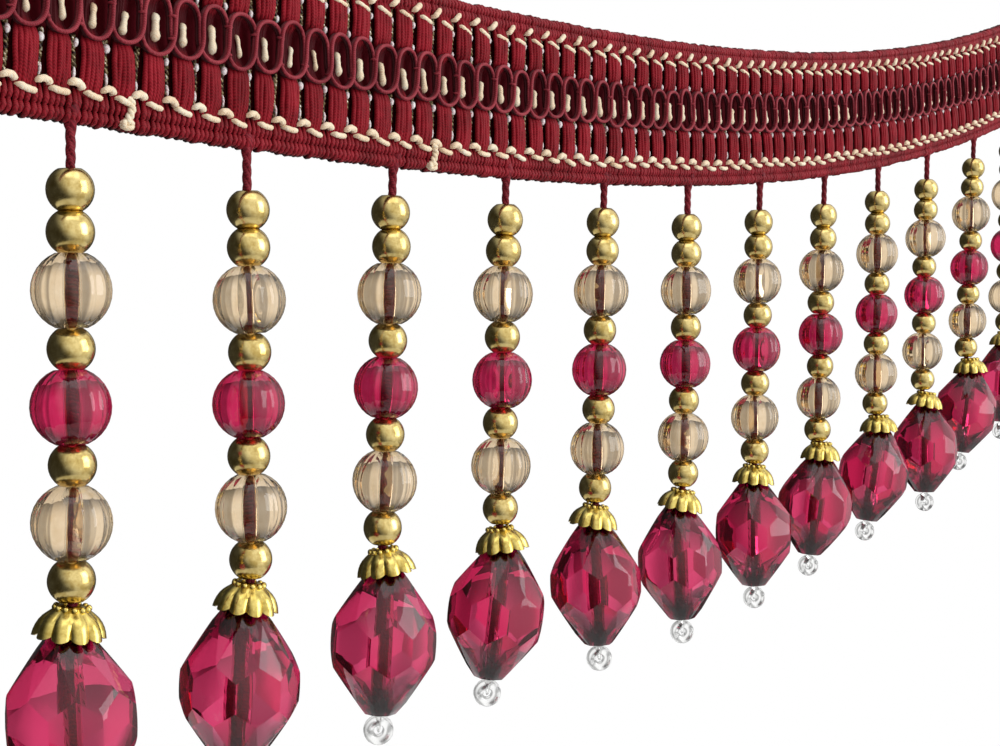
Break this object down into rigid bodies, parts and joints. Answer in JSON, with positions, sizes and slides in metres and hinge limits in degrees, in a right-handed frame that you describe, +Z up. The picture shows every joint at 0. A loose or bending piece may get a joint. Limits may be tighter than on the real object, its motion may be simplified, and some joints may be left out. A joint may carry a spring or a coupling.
{
  "type": "beaded fringe trim",
  "caption": "Length of dark red woven gimp braid in a shallow sag, with a row of gold, champagne and ruby bead strands, each ending in a faceted ruby drop.",
  "frame": {"origin": "middle of the braid's top edge, where the trim is sewn on and hangs", "axes": "+X along the trim, +Y to its back, +Z up; the patterned face looks along -Y"},
  "size_m": [0.288, 0.0152, 0.1248],
  "materials": {
    "braid_red": "matt woven rayon threads",
    "thread_red": "twisted thread",
    "cream_thread": "soft cream yarn",
    "metallic_thread": "twisted dull metallic yarn",
    "gold": "metallised, bright gold",
    "gold_cap": "metallised, bright gold",
    "champagne": "clear tinted acrylic",
    "ruby": "clear tinted acrylic, polished facets",
    "clear_bead": "clear polished"
  },
  "bodies": {
    "root": {"braid": "braid_red", "fringe": "thread_red", "beads_01": "gold", "cap_01": "gold_cap", "drop_01": "ruby", "stop_01": "clear_bead", "beads_02": "gold", "cap_02": "gold_cap", "drop_02": "ruby", "stop_02": "clear_bead", "beads_03": "gold", "cap_03": "gold_cap", "drop_03": "ruby", "stop_03": "clear_bead", "beads_04": "gold", "cap_04": "gold_cap", "drop_04": "ruby", "stop_04": "clear_bead", "beads_05": "gold", "cap_05": "gold_cap", "drop_05": "ruby", "stop_05": "clear_bead", "beads_06": "gold", "cap_06": "gold_cap", "drop_06": "ruby", "stop_06": "clear_bead", "beads_07": "gold", "cap_07": "gold_cap", "drop_07": "ruby", "stop_07": "clear_bead", "beads_08": "gold", "cap_08": "gold_cap", "drop_08": "ruby", "stop_08": "clear_bead", "beads_09": "gold", "cap_09": "gold_cap", "drop_09": "ruby", "stop_09": "clear_bead", "beads_10": "gold", "cap_10": "gold_cap", "drop_10": "ruby", "stop_10": "clear_bead", "beads_11": "gold", "cap_11": "gold_cap", "drop_11": "ruby", "stop_11": "clear_bead", "beads_12": "gold", "cap_12": "gold_cap", "drop_12": "ruby", "stop_12": "clear_bead"}
  },
  "joints": []
}
